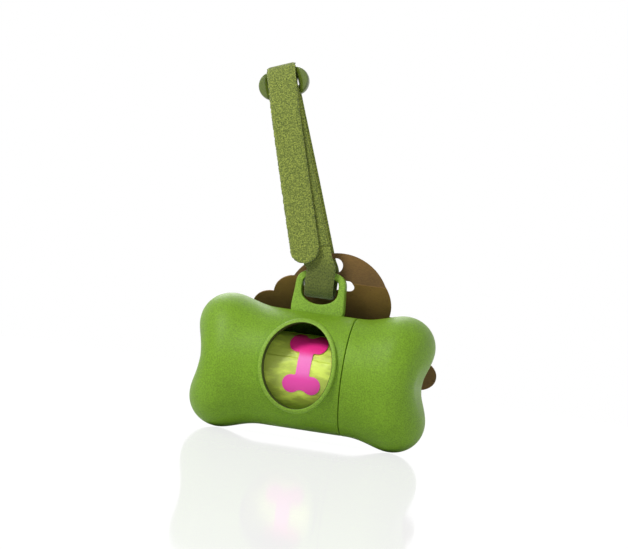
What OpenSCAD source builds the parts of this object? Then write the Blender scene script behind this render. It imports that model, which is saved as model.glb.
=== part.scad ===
/* Bone-shaped holder for a roll of waste bags, with a hook-and-loop strap and a hang card.
   X runs along the bone towards the cap, -Y is the window side and +Z is up.
   The origin lies on the axis of the roll chamber. */

/* [Bone] */
// Half length of the barrel, without the lobes
barrel_half = 38.2; // [37:0.2:42]
// Rounding of the barrel's ends
end_round = 9.7; // [6:0.1:11]
// Distance of a lobe's centre from the middle, along the bone
lobe_x = 32.9; // [31:0.1:36]
// Distance of a lobe's centre from the bone's axis
lobe_z = 14; // [12:0.1:16]
// Radius of a lobe
lobe_r = 8; // [7:0.1:10]
// How much deeper than high a lobe is
lobe_depth = 1.4; // [1:0.05:1.6]
// Softness of the blend between barrel and lobes
blend = 11.2; // [8:0.1:13]
// Wall of the mouldings
wall = 2; // [1.4:0.1:2.4]

/* [Cap] */
// Place of the seam along the bone
seam_x = 13.6; // [12:0.2:18]
// Gap that shows as the seam line
seam_gap = 0.3; // [0.2:0.05:0.6]
// Length of the neck that stands into the cap
neck_len = 7.8; // [6:0.2:9]
// Wall of the neck
neck_wall = 1.45; // [1:0.05:1.8]
// Radial clearance between the neck and the cap's mouth
neck_fit = 0.05; // [0.02:0.01:0.1]
// Thickness of the sealing ring
seal_t = 1.2; // [0.8:0.1:2]
// Thickness of the ledge that carries the sealing ring
ledge_t = 1.4; // [1:0.1:2]

/* [Window] */
// Window centre along the bone
window_x = -1.9; // [-4:0.1:0]
// Window centre above the axis
window_z = 1.4; // [-1:0.1:2]
// Half width of the opening
window_half_w = 12; // [9:0.1:12.4]
// Half height of the opening
window_half_h = 15; // [11:0.1:15]
// Width of the raised rim
rim_w = 1.6; // [1.2:0.1:2.6]
// Height of the rim above the barrel's front
rim_proud = 1.6; // [0.8:0.1:2.5]
// Radius of the rim's cylindrical face
rim_curve = 27; // [24:0.5:34]

/* [Lug] */
// Lug centre along the bone
lug_x = -1.1; // [-3:0.1:1]
// Width of the lug at its base
lug_base_w = 20; // [18:0.2:24]
// Width of the lug at its shoulders
lug_top_w = 17.2; // [16.8:0.2:18]
// Height of the lug's top above the barrel
lug_rise = 15; // [14.6:0.1:15.4]
// Thickness of the lug
lug_t = 5; // [4:0.1:5.2]
// Radius of the lug's shoulders
lug_corner = 4.5; // [3.5:0.1:5.5]
// Width of the eye
eye_w = 13.2; // [13.2:0.1:13.8]
// Height of the eye's lowest point above the barrel
eye_rise = 3; // [2.2:0.1:3.2]
// Height of the eye's rounded lower part
eye_round = 4.7; // [4.5:0.1:5.2]
// Thickness of the bar over the eye
bar_t = 2.5; // [2:0.1:2.8]

/* [Roll] */
// Outer radius of the roll of bags
roll_r = 15.2; // [14:0.1:16.2]
// Play between the roll and the neck's bore; the barrel is sized by the roll, this play and the walls
roll_play = 2.3; // [1:0.1:2.6]
// Length of the roll
roll_len = 57; // [54:0.5:58]
// How far the roll stands out of the neck
roll_stand = 6.6; // [5:0.1:7.4]
// Bore radius of the cardboard core
core_r = 7; // [6.5:0.1:9]
// Wall of the cardboard core
core_wall = 0.8; // [0.5:0.1:1.5]
// Gap under a piece that rests in another
rest_gap = 0.3; // [0.2:0.05:0.5]
// Label centre along the bone
label_x = -0.7; // [-3:0.1:1]
// Label centre above the axis of the bone
label_z = 2.2; // [0:0.1:3]
// Height of the label on the roll, seen from the front
label_h = 20.8; // [16:0.2:22]
// Radius of the label's upper and lower lobes
label_lobe_r = 3.9; // [3:0.1:5]
// Width of the label's waist
label_waist_w = 5; // [3:0.1:7]
// Thickness of the label
label_t = 0.15; // [0.1:0.05:0.3]

/* [Strap] */
// Width of the webbing
strap_w = 10.4; // [8:0.1:10.6]
// Thickness of the webbing
strap_t = 1; // [0.8:0.05:1.2]
// Lean of the strap towards the closed end, in degrees
strap_lean = 19.8; // [0:0.2:22]
// Length of the legs from the lug's bar to the buckle's middle
leg_len = 71; // [60:0.5:90]
// Inner radius of the loop round the lug's bar
loop_r = 3.7; // [3.65:0.01:3.8]
// How far the loop hangs below the lug's bar
loop_drop = 3.9; // [3:0.1:4]
// Distance along the legs over which the loop stays open
loop_open_len = 30; // [20:1:40]
// Length of the tail from the fold to its tip
tail_len = 68.4; // [50:0.1:70]
// How far the tail is turned from the leg behind it, in degrees
tail_skew = 3.2; // [0:0.1:3.6]
// Thickness of each half of the hook-and-loop closure
pile_t = 0.6; // [0.4:0.05:0.8]
// Gap between the closed halves
pile_gap = 0.2; // [0.15:0.05:0.4]
// Length of the hook patch on the tail
hook_len = 26; // [15:1:40]
// Length of the pile patch on the front leg
pile_len = 44; // [30:1:50]

/* [Buckle] */
// Outer width of the ring
ring_w = 18.6; // [17.5:0.1:20]
// Outer height of the ring
ring_h = 10.6; // [10:0.1:12]
// Thickness of the ring
ring_t = 2.4; // [2:0.1:2.6]
// Thickness of the ring's bars
ring_bar = 2.4; // [2:0.1:2.5]

/* [Card] */
// Thickness of the card
card_t = 0.5; // [0.3:0.05:0.6]
// Clearance between the board and the lobes that turn past it
card_gap = 0.35; // [0.3:0.05:0.6]
// Height of the crease above the barrel
crease_rise = 12.2; // [12:0.1:13]
// Radius of the domed top
dome_r = 19; // [16:0.1:20]
// Distance of the dome's centre below the crease
dome_drop = 8.7; // [6:0.1:9]
// Radius of the peg hole
peg_r = 2.7; // [2:0.1:3.2]
// Length of the strap slot
slot_len = 20.6; // [17:0.1:24]
// Width of the strap slot
slot_w = 4.6; // [4.2:0.1:5]

/* [Hidden] */
$fn = 96;

// The grid of the bone's surface: points round it, rows on a rounded end and rows along the barrel
around = 48;
end_rows = 12;
barrel_rows = 12;
// Distance from the middle to the point that the end's rays start from
spine = 30;
// How far a cutting or cut body stands past what it meets
reach = 10;
// Longest ray and number of halvings that find the surface on it
ray_max = 45;
halvings = 16;

neck_bore = roll_r + roll_play;
neck_r = neck_bore + neck_wall;
chamber_r = neck_r + neck_fit;
barrel_r = chamber_r + wall;
neck_root = 3.2;
neck_bond = 0.6;
seal_x = seam_x + neck_len + rest_gap;
ledge_x = seal_x + seal_t + rest_gap;
roll_z = rest_gap - roll_play;
roll_x0 = seam_x + neck_len + roll_stand - roll_len;
spigot_r = core_r + roll_z - rest_gap;
spigot_len = 6;

lug_top_z = barrel_r + lug_rise;
bar_z = lug_top_z - bar_t / 2;
eye_top_z = lug_top_z - bar_t;
eye_mid_z = barrel_r + eye_rise + eye_round;
eye_corner = 1;
strap_x = lug_x - 0.2;
lean_start = 0.7;
lean_soft = 4;
leg_y = loop_r + strap_t / 2;
low_bar_t = leg_len - (ring_h - ring_bar) / 2;
top_bar_t = leg_len + (ring_h - ring_bar) / 2;
turn_r = norm([ring_bar, ring_t]) / 2 + rest_gap / 2 + strap_t / 2;
front_top = turn_r + strap_t + rest_gap;
tail_y = strap_t + 2 * pile_t + pile_gap;
fold_drop = 2.2;
fold_out = 1.1;
hinge_t = top_bar_t - fold_drop;
hinge_y = turn_r + fold_out;
closure_edge = 0.4;
ring_slot_w = strap_w + 2 * rest_gap;

card_y = lug_t / 2 + 2 * rest_gap + card_t / 2;
card_crease_z = barrel_r + crease_rise;
dome_x = 4.7;
peg_u = 2.4;
peg_v = 5.6;
slot_u = -0.2;
slot_under = 3.9;
slot_v = slot_w / 2 - slot_under;
board_half_w = 27;
board_top_v = 13.2;
foot_x = 34;
foot_v = 38.6;
foot_r = 7.4;
crease_half = sqrt(dome_r * dome_r - dome_drop * dome_drop);
card_lobes = [[-20, -16, 7.8], [-10.5, -8.8, 9.2], [-foot_x, -foot_v, foot_r], [foot_x, -foot_v, foot_r]];

// Smooth minimum of two distances
function smooth_min(a, b) =
    let (h = min(1, max(0, 0.5 + 0.5 * (b - a) / blend))) b * (1 - h) + a * h - blend * h * (1 - h);

// Distance field of the bone: a barrel with rounded ends, blended with two lobes at each end
function barrel_field(r, x) =
    let (a = r - barrel_r + end_round, b = x - barrel_half + end_round)
    min(max(a, b), 0) + norm([max(a, 0), max(b, 0)]) - end_round;
function lobe_field(x, y, z) = norm([x - lobe_x, y / lobe_depth, z - lobe_z]) - lobe_r;
function bone(p) =
    smooth_min(barrel_field(norm([p[1], p[2]]), abs(p[0])), lobe_field(abs(p[0]), p[1], abs(p[2])));

// Where the ray from p along d meets the surface that lies `inset` under the bone's own
function hit(p, d, inset, lo = 0, hi = ray_max, n = halvings) =
    let (mid = (lo + hi) / 2)
    n == 0 ? p + mid * d
    : bone(p + mid * d) < -inset ? hit(p, d, inset, mid, hi, n - 1) : hit(p, d, inset, lo, mid, n - 1);

// The lean that keeps the board clear of the cap's lobes as they turn about the bone's axis
lobe_reach = max([for (x = [spine:0.5:lobe_x]) hit([x, 0, 0], [0, 0, 1], 0)[2]]);
board_clear = lobe_reach + card_gap + card_t / 2;
card_lean = asin(board_clear / norm([card_y, card_crease_z])) - atan2(card_y, card_crease_z);

// Rows of points from the seam to the pole of one end; side is -1 for the closed end, 1 for the cap
function row(start, dirs, inset) = [for (d = dirs) hit(start, d, inset)];
function ring_dirs(side, lift) =
    [for (j = [0:around - 1]) let (a = 360 * j / around) [side * sin(lift), cos(lift) * cos(a), cos(lift) * sin(a)]];
function bone_rows(side, from_x, inset) = concat(
    [for (i = [0:barrel_rows - 1])
        row([from_x + (side * spine - from_x) * i / barrel_rows, 0, 0], ring_dirs(side, 0), inset)],
    [for (i = [0:end_rows - 1]) row([side * spine, 0, 0], ring_dirs(side, 90 * i / end_rows), inset)]);

// A closed cup: an outer skin and an inner skin, joined by a flat ring at the seam
module bone_cup(side, from_x) {
    outer = bone_rows(side, from_x, 0);
    inner = bone_rows(side, from_x, wall);
    rows = len(outer);
    skin = rows * around;
    points = concat([for (r = outer) for (p = r) p], [for (r = inner) for (p = r) p],
        [hit([side * spine, 0, 0], [side, 0, 0], 0), hit([side * spine, 0, 0], [side, 0, 0], wall)]);
    function at(base, i, j) = base + i * around + j % around;
    function quad(a, b, c, d) = side > 0 ? [[a, c, b], [a, d, c]] : [[a, b, c], [a, c, d]];
    faces = concat(
        [for (i = [0:rows - 2]) for (j = [0:around - 1])
            for (f = quad(at(0, i, j), at(0, i, j + 1), at(0, i + 1, j + 1), at(0, i + 1, j))) f],
        [for (i = [0:rows - 2]) for (j = [0:around - 1])
            for (f = quad(at(skin, i, j), at(skin, i + 1, j), at(skin, i + 1, j + 1), at(skin, i, j + 1))) f],
        [for (j = [0:around - 1])
            for (f = quad(at(0, 0, j), at(skin, 0, j), at(skin, 0, j + 1), at(0, 0, j + 1))) f],
        [for (j = [0:around - 1])
            side > 0 ? [at(0, rows - 1, j), 2 * skin, at(0, rows - 1, j + 1)]
            : [at(0, rows - 1, j), at(0, rows - 1, j + 1), 2 * skin]],
        [for (j = [0:around - 1])
            side > 0 ? [at(skin, rows - 1, j), at(skin, rows - 1, j + 1), 2 * skin + 1]
            : [at(skin, rows - 1, j), 2 * skin + 1, at(skin, rows - 1, j + 1)]]);
    polyhedron(points = points, faces = faces, convexity = 8);
}

// A solid or hollow cylinder along X
module along_x(x0, x1, r, bore = 0) {
    translate([x0, 0, 0]) rotate([0, 90, 0])
        linear_extrude(x1 - x0) difference() {
            circle(r);
            if (bore > 0) circle(bore);
        }
}

// An outline drawn in X and Z, extruded from y0 to y1
module along_y(y0, y1) {
    translate([0, y1, 0]) rotate([90, 0, 0]) linear_extrude(y1 - y0) children();
}

module ellipse(half_w, half_h, steps = 72) {
    polygon([for (i = [0:steps - 1]) [half_w * cos(360 * i / steps), half_h * sin(360 * i / steps)]]);
}

module window_outline(grow) {
    translate([window_x, window_z]) ellipse(window_half_w + grow, window_half_h + grow);
}

// The raised rim: an oval tube cut to a gently curved face and kept outside the chamber
module window_rim() {
    intersection() {
        along_y(-barrel_r - reach, 0) window_outline(rim_w);
        translate([0, rim_curve - barrel_r - rim_proud, 0])
            along_x(window_x - window_half_w - reach, window_x + window_half_w + reach, rim_curve);
    }
}

module lug_outline() {
    half = lug_top_w / 2 - lug_corner;
    hull() {
        for (s = [-1, 1]) {
            translate([lug_x + s * half, lug_top_z - lug_corner]) circle(lug_corner, $fn = 48);
            translate([lug_x + s * (lug_base_w / 2 - 0.5), chamber_r + 0.9]) circle(0.5, $fn = 16);
        }
    }
}

// The eye: a half ellipse below and a flat-topped half above, where the webbing lies flat
module eye_outline() {
    translate([lug_x, eye_mid_z]) ellipse(eye_w / 2, eye_round, 60);
    hull() {
        translate([lug_x - eye_w / 2, eye_mid_z]) square([eye_w, 0.01]);
        for (s = [-1, 1])
            translate([lug_x + s * (eye_w / 2 - eye_corner), eye_top_z - eye_corner]) circle(eye_corner, $fn = 24);
    }
}

module main_shell() {
    color("yellowgreen") {
        difference() {
            union() {
                difference() {
                    union() {
                        bone_cup(-1, seam_x);
                        window_rim();
                    }
                    along_x(-spine, seam_x + reach, chamber_r + 0.001);
                }
                along_y(-lug_t / 2, lug_t / 2) lug_outline();
            }
            along_y(-barrel_r - reach, -neck_bore / 2) window_outline(0);
            along_y(-lug_t, lug_t) eye_outline();
        }
        along_x(seam_x - neck_root, seam_x - 1, neck_r + neck_bond, neck_bore);
        along_x(seam_x - neck_root, seam_x + neck_len, neck_r, neck_bore);
        along_x(-barrel_half + wall / 2, roll_x0 + spigot_len, spigot_r);
    }
}

module end_cap() {
    color("yellowgreen") {
        difference() {
            bone_cup(1, seam_x + seam_gap);
            along_x(seam_x, ledge_x, chamber_r);
        }
        along_x(ledge_x, ledge_x + ledge_t, barrel_r - neck_bond / 2, neck_bore);
    }
}

module cap_seal() {
    color("dimgray") along_x(seal_x, seal_x + seal_t, neck_r, neck_bore);
}

module roll_core() {
    color("tan") translate([0, 0, roll_z]) along_x(roll_x0, roll_x0 + roll_len, core_r + core_wall, core_r);
}

module bag_roll() {
    color("khaki") translate([0, 0, roll_z])
        along_x(roll_x0, roll_x0 + roll_len, roll_r, core_r + core_wall);
}

// The label's outline: two lobes at each end of a waist
module label_outline() {
    lobe_at = label_h / 2 - label_lobe_r;
    translate([label_x, label_z]) {
        for (v = [-1, 1]) for (s = [-1, 1])
            translate([s * label_lobe_r * 0.8, v * lobe_at]) circle(label_lobe_r, $fn = 48);
        square([label_waist_w, 2 * lobe_at], center = true);
    }
}

module seal_sticker() {
    color("hotpink") intersection() {
        translate([0, 0, roll_z])
            along_x(label_x - label_h / 2, label_x + label_h / 2, roll_r + label_t, roll_r);
        along_y(-roll_r - 2, 0) label_outline();
    }
}

// The webbing's own frame: t runs up along the leg from the lug's bar, w across it, y through it
function lean_at(t) =
    let (u = min(1, max(0, (t - lean_start) / lean_soft))) strap_lean * u * u * (3 - 2 * u);
function strap_point(t, y, w, a) =
    [strap_x - t * sin(a) + w * cos(a), y, bar_z + t * cos(a) + w * sin(a)];

// A flat band through a list of [t, y] points, from `under` below its route to `over` above it,
// and turned in its own plane by `skew` about the fold; a free band keeps the full lean to its end
module band(route, under, over, width, skew = 0, free = false) {
    n = len(route);
    function way(i) =
        let (a = route[max(0, i - 1)], b = route[min(n - 1, i + 1)]) (b - a) / norm(b - a);
    function corner(i, o, w) =
        let (d = way(i), p = route[i] + o * [-d[1], d[0]])
        strap_point(p[0], p[1], w - (hinge_t - p[0]) * tan(skew), free ? strap_lean : lean_at(p[0]));
    points = [for (i = [0:n - 1]) for (c = [[-under, -1], [over, -1], [over, 1], [-under, 1]])
        corner(i, c[0], c[1] * (is_list(width) ? width[i] : width) / 2)];
    sides = [for (i = [0:n - 2]) for (k = [0:3]) for (f = [0, 1])
        let (a = 4 * i + k, b = 4 * i + (k + 1) % 4)
        f == 0 ? [a, b + 4, b] : [a, a + 4, b + 4]];
    ends = [[0, 1, 2], [0, 2, 3], [4 * n - 4, 4 * n - 2, 4 * n - 3], [4 * n - 4, 4 * n - 1, 4 * n - 2]];
    polyhedron(points = points, faces = concat(sides, ends), convexity = 6);
}

// How far a leg's middle lies from the loop's middle plane at t, when it is `top` at the buckle
function leg_at(t, top) =
    let (u = min(1, max(0, (t - loop_open_len) / (low_bar_t - loop_open_len))))
    leg_y + (top - leg_y) * u * u * (3 - 2 * u);

// The routes, as [t, y]: the rear leg starts at its stitched end on the buckle's lower bar
step = 5;
low_turn = [for (a = [180:-20:20]) [low_bar_t + turn_r * sin(a), turn_r * cos(a)]];
rear = [for (t = [low_bar_t:-step:1 - loop_drop]) [t, leg_at(t, turn_r)]];
bar_turn = [for (a = [0:15:180]) [-loop_drop - leg_y * sin(a), leg_y * cos(a)]];
front = [for (t = [1 - loop_drop:step:low_bar_t]) [t, -leg_at(t, front_top)]];
through_ring = [[low_bar_t + 3.1, -turn_r - 0.1], [low_bar_t + 5, 0.2], [low_bar_t + 6.2, turn_r - 0.5]];
top_turn = [for (a = [0:20:160]) [top_bar_t + turn_r * sin(a), turn_r * cos(a)]];
fold_end = [[top_bar_t, -turn_r - 0.2], [hinge_t + rest_gap / 2, -hinge_y]];

// The tail hangs in front of the front leg, and draws in to it towards the fold
function tail_at(t) =
    let (u = min(1, max(0, (t - low_bar_t + 8) / (hinge_t - low_bar_t + 8))))
    (leg_at(t, front_top) + tail_y) * (1 - u) + hinge_y * u;
tail_route = concat([[hinge_t - rest_gap / 2, -hinge_y]],
    [for (t = [hinge_t - 2:-step / 2:hinge_t - tail_len + strap_w / 2]) [t, -tail_at(t)]],
    [for (a = [0:15:75]) let (t = hinge_t - tail_len + strap_w / 2 * (1 - sin(a))) [t, -tail_at(t)]]);
tip_t = hinge_t - tail_len;
tail_widths = [for (p = tail_route) let (d = p[0] - tip_t, r = strap_w / 2)
    d >= r ? strap_w : 2 * sqrt(max(r * r - (r - d) * (r - d), 1))];

module strap_band() {
    color("olivedrab")
        band(concat(low_turn, rear, bar_turn, front, through_ring, top_turn, fold_end),
            strap_t / 2, strap_t / 2, strap_w);
}

module strap_tail() {
    color("darkkhaki") band(tail_route, strap_t / 2, strap_t / 2, tail_widths, tail_skew, true);
}

// One half of the closure, a thin layer on the inner face of the tail or the outer face of the leg
module closure(route, skew = 0, free = false) {
    band(route, strap_t / 2 + pile_t, -strap_t / 2, strap_w - 2 * closure_edge, skew, free);
}

module hook_patch() {
    first = tip_t + strap_w / 2;
    color("olive") closure([for (t = [first + hook_len:-hook_len / 6:first]) [t, -tail_at(t)]], tail_skew, true);
}

module pile_patch() {
    first = tip_t + strap_w / 2;
    color("yellowgreen")
        closure([for (t = [first:pile_len / 10:first + pile_len]) [t, -leg_at(t, front_top)]]);
}

// Places a piece drawn about the buckle's middle, with its height along the leg
module at_buckle() {
    translate(strap_point(leg_len, 0, 0, strap_lean)) rotate([0, -strap_lean, 0]) children();
}

module ring_outline(w, h) {
    hull() for (s = [-1, 1]) translate([s * (w - h) / 2, 0]) circle(h / 2, $fn = 48);
}

module buckle_ring() {
    color("yellowgreen") at_buckle() along_y(-ring_t / 2, ring_t / 2) difference() {
        ring_outline(ring_w, ring_h);
        square([ring_slot_w, ring_h - 2 * ring_bar], center = true);
    }
}

// The card's outline, flat: u runs along the bone and v up from the crease
module card_outline() {
    difference() {
        union() {
            translate([dome_x, -dome_drop]) circle(dome_r);
            for (c = card_lobes) translate([c[0], c[1]]) circle(c[2], $fn = 64);
            translate([-board_half_w, -foot_v]) square([2 * board_half_w, foot_v - board_top_v]);
            translate([-foot_x, -foot_v - foot_r + 1]) square([2 * foot_x, 2 * foot_r - 2]);
        }
        translate([peg_u, peg_v]) circle(peg_r, $fn = 48);
        hull() for (s = [-1, 1])
            translate([slot_u + s * (slot_len - slot_w) / 2, slot_v]) circle(slot_w / 2, $fn = 32);
    }
}

module card_half(upper) {
    intersection() {
        card_outline();
        translate([-80, upper ? 0 : -80]) square([160, 80]);
    }
}

module hang_card() {
    color("saddlebrown") translate([0, card_y, card_crease_z]) {
        along_y(-card_t / 2, card_t / 2) card_half(true);
        rotate([card_lean, 0, 0]) along_y(-card_t / 2, card_t / 2) card_half(false);
        difference() {
            along_x(dome_x - crease_half, dome_x + crease_half, card_t / 2);
            translate([slot_u, 0, 0]) cube([slot_len - 0.2, 2, 2], center = true);
        }
    }
}

main_shell();
end_cap();
cap_seal();
roll_core();
bag_roll();
seal_sticker();
strap_band();
strap_tail();
hook_patch();
pile_patch();
buckle_ring();
hang_card();
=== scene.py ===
import bmesh
import bpy
import numpy as np
from bpy.props import FloatProperty, FloatVectorProperty, PointerProperty
from mathutils import Matrix, Vector


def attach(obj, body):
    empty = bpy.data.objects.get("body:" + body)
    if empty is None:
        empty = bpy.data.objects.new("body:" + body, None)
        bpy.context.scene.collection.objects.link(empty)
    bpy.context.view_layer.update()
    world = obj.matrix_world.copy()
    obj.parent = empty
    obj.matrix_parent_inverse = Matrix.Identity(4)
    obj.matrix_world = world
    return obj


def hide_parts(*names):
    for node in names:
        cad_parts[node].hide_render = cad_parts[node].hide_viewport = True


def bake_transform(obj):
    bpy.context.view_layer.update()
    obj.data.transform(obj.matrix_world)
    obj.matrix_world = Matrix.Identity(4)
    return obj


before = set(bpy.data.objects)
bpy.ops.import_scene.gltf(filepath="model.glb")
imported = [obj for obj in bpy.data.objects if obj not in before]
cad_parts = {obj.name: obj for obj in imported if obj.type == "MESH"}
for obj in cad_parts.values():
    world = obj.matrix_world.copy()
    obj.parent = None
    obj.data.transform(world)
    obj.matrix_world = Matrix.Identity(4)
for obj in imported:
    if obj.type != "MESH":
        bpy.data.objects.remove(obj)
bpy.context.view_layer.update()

bl_info = {
    "name": "Bone Bag Holder",
    "version": (1, 0, 0),
    "blender": (4, 5, 0),
    "location": "View3D > Sidebar > Bag Holder",
    "description": "Builds a bone-shaped holder for waste bags with its roll, strap and card",
    "category": "Object",
}

MM = 0.001


def size(label, words, value, low=0.0):
    """A length in millimetres that a user may change."""
    return FloatProperty(name=label, description=words, default=value, min=low)


def angle(label, words, degrees):
    """An angle, given here in degrees and held in radians."""
    return FloatProperty(name=label, description=words, subtype="ANGLE", default=np.radians(degrees))


def ratio(label, words, value):
    """A plain ratio of two lengths."""
    return FloatProperty(name=label, description=words, default=value, min=0)


def colour(label, words, value):
    """A display colour, given as it is seen (sRGB)."""
    return FloatVectorProperty(name=label, description=words, subtype="COLOR", default=value, min=0, max=1)


class BAGHOLDER_PG_bone(bpy.types.PropertyGroup):
    """Sizes of the two bone halves and of the window, in millimetres."""
    barrel_r: size("Barrel radius", "Radius of the round middle", 21.0)
    barrel_half: size("Barrel half length", "Half length without the lobes", 38.2)
    end_round: size("End rounding", "Rounding of the barrel's ends", 9.7)
    lobe_x: size("Lobe distance", "Lobe centre along the bone", 32.9)
    lobe_z: size("Lobe offset", "Lobe centre off the axis", 14.0)
    lobe_r: size("Lobe radius", "Radius of a lobe", 8.0)
    lobe_depth: ratio("Lobe depth", "How much deeper than high a lobe is", 1.4)
    blend: size("Blend", "Softness between barrel and lobes", 11.2)
    wall: size("Wall", "Thickness of the mouldings", 2.0)
    seam_x: size("Seam", "Place of the seam along the bone", 13.6)
    seam_gap: size("Seam gap", "Gap that shows as the seam line", 0.3)
    window_x: size("Window place", "Window centre along the bone", -1.9, -20)
    window_z: size("Window height", "Window centre above the axis", 1.4)
    window_w: size("Window half width", "Half width of the opening", 12.0)
    window_h: size("Window half height", "Half height of the opening", 15.0)
    rim_w: size("Rim width", "Width of the raised rim", 1.6)
    rim_proud: size("Rim height", "Height over the barrel's front", 1.6)
    rim_curve: size("Rim curve", "Radius of the rim's face", 27.0)
    neck_r: size("Neck radius", "Outer radius of the neck", 18.95)
    neck_bore: size("Neck bore", "Inner radius of the neck", 17.5)
    neck_len: size("Neck length", "How far the neck stands into the cap", 7.8)


class BAGHOLDER_PG_strap(bpy.types.PropertyGroup):
    """Sizes of the lug, roll, strap and buckle, in millimetres."""
    lug_x: size("Lug place", "Lug centre along the bone", -1.1, -20)
    lug_t: size("Lug thickness", "Thickness of the lug", 5.0)
    lug_top: size("Lug top", "Height of the lug's top over the axis", 36.0)
    eye_w: size("Eye width", "Width of the eye", 13.2)
    eye_z: size("Eye height", "Height of the eye's middle", 28.7)
    eye_h: size("Eye half height", "Half height of the eye", 4.7)
    bar_z: size("Bar height", "Height of the lug's bar", 34.75)
    roll_r: size("Roll radius", "Outer radius of the roll", 15.2)
    roll_len: size("Roll length", "Length of the roll", 57.0)
    roll_end: size("Roll end", "Far end of the roll along the bone", 28.0)
    roll_z: size("Roll height", "Height of the roll's axis", -2.0, -5)
    core_r: size("Core radius", "Outer radius of the core", 7.8)
    width: size("Strap width", "Width of the webbing", 10.4)
    thick: size("Strap thickness", "Thickness of the webbing", 1.0)
    spigot_r: size("Spigot radius", "Radius of the spigot inside the core", 4.7)
    lean: angle("Strap lean", "Lean of the strap to the left", 19.8)
    leg: size("Leg length", "From the lug's bar to the buckle's middle", 71.0)
    tail: size("Tail length", "From the hinge to the tip", 68.4)
    skew: angle("Tail turn", "Turn of the tail from its leg", 3.2)
    drop: size("Loop drop", "How far the loop hangs below the lug's bar", 3.9)
    fold: size("Fold drop", "From the buckle's upper bar down to the fold", 2.2)
    nap_t: size("Tape thickness", "Thickness of the hook and pile tapes", 0.6)
    ring_w: size("Ring width", "Outer width of the buckle", 18.6)
    ring_h: size("Ring height", "Outer height of the buckle", 10.6)
    ring_bar: size("Ring bar", "Thickness of the buckle's bars", 2.4)


class BAGHOLDER_PG_finish(bpy.types.PropertyGroup):
    """Colours as they are seen."""
    body: colour("Body", "Moulded green", (0.465, 0.625, 0.14))
    trim: colour("Trim", "Lighter green of rim and lug", (0.52, 0.675, 0.22))
    film: colour("Film", "Bag film", (0.84, 0.93, 0.38))
    ring: colour("Buckle", "Buckle's darker green", (0.36, 0.43, 0.13))
    label: colour("Label", "Pink label", (1.0, 0.30, 0.74))
    web: colour("Webbing", "Strap webbing", (0.42, 0.50, 0.17))
    nap: colour("Nap", "Napped face of the tail", (0.60, 0.65, 0.27))
    kraft: colour("Card", "Brown card", (0.47, 0.355, 0.17))
    paper: colour("Core", "Cardboard core", (0.66, 0.57, 0.44))


def linear(c):
    """A seen colour (sRGB) as the linear colour that a shader takes."""
    c = np.asarray(c, float)
    return tuple(np.where(c <= 0.04045, c / 12.92, ((c + 0.055) / 1.055) ** 2.4)) + (1.0,)


# Surfaces

def once_round(count):
    """Even angles once round, in radians, without the last."""
    return np.linspace(0, 2 * np.pi, count, endpoint=False)


def ease(x, low, high):
    """0 below low, 1 above high, and 3u^2 - 2u^3 of the share u between."""
    u = np.clip((x - low) / (high - low), 0, 1)
    return u * u * (3 - 2 * u)


def distance_along(points):
    """How far each point of a line lies from its first, along the line."""
    return np.concatenate([[0], np.cumsum(np.linalg.norm(np.diff(points, axis=0), axis=1))])


def place_mesh(name, mesh):
    """An object at the origin that holds the mesh."""
    obj = bpy.data.objects.new(name, mesh)
    bpy.context.scene.collection.objects.link(obj)
    return obj


def add_mesh(name, verts, faces, smooth=True):
    """A mesh object at the origin from points in millimetres and a face array."""
    mesh = bpy.data.meshes.new(name)
    mesh.from_pydata((np.asarray(verts) * MM).tolist(), [], [tuple(f) for f in faces])
    mesh.validate()
    mesh.polygons.foreach_set("use_smooth", np.full(len(mesh.polygons), smooth))
    mesh.update()
    return place_mesh(name, mesh)


def grid_faces(rows, cols, wrap_rows=False):
    """Quads over a rows x cols grid of points, closed along its rows and, if asked, back to its
    first row."""
    i, j = np.meshgrid(np.arange(rows if wrap_rows else rows - 1), np.arange(cols), indexing="ij")
    i2, j2 = (i + 1) % rows, (j + 1) % cols
    quads = np.stack([i * cols + j, i * cols + j2, i2 * cols + j2, i2 * cols + j], -1)
    return quads.reshape(-1, 4)


def outward(obj, sharp=None):
    """Merges doubles, turns the faces outwards and marks edges sharper than `sharp` degrees."""
    bm = bmesh.new()
    bm.from_mesh(obj.data)
    bmesh.ops.remove_doubles(bm, verts=bm.verts, dist=1e-6)
    bmesh.ops.recalc_face_normals(bm, faces=bm.faces)
    bm.to_mesh(obj.data)
    bm.free()
    if sharp:
        obj.data.set_sharp_from_angle(angle=np.radians(sharp))
    return obj


def skin(name, points, sharp):
    """A closed skin over a grid of points, rows x columns x XYZ, each row a loop and the last row
    joined to the first."""
    faces = grid_faces(*points.shape[:2], wrap_rows=True)
    return outward(add_mesh(name, points.reshape(-1, 3), faces), sharp)


def lathe(name, profile, axis_z=0.0, steps=128, sharp=30):
    """A closed [x, r] profile turned about the line along X at height axis_z."""
    p = np.asarray(profile, float)
    a = once_round(steps)
    x, r = p[:, None, 0], p[:, None, 1]
    return skin(name, np.stack(np.broadcast_arrays(x, r * np.cos(a), r * np.sin(a) + axis_z), -1), sharp)


def smooth_min(a, b, k):
    """The lesser of two distances, blended over k."""
    h = np.clip(0.5 + 0.5 * (b - a) / k, 0, 1)
    return b * (1 - h) + a * h - k * h * (1 - h)


def bone_field(p, s):
    """Distance to the bone: a barrel with rounded ends blended with two lobes at each end."""
    x, y, z = np.abs(p[..., 0]), p[..., 1], p[..., 2]
    a = np.hypot(y, z) - s.barrel_r + s.end_round
    b = x - s.barrel_half + s.end_round
    barrel = np.minimum(np.maximum(a, b), 0) + np.hypot(np.maximum(a, 0), np.maximum(b, 0)) - s.end_round
    lobe = np.sqrt((x - s.lobe_x) ** 2 + (y / s.lobe_depth) ** 2 + (np.abs(z) - s.lobe_z) ** 2) - s.lobe_r
    return smooth_min(barrel, lobe, s.blend)


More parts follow.
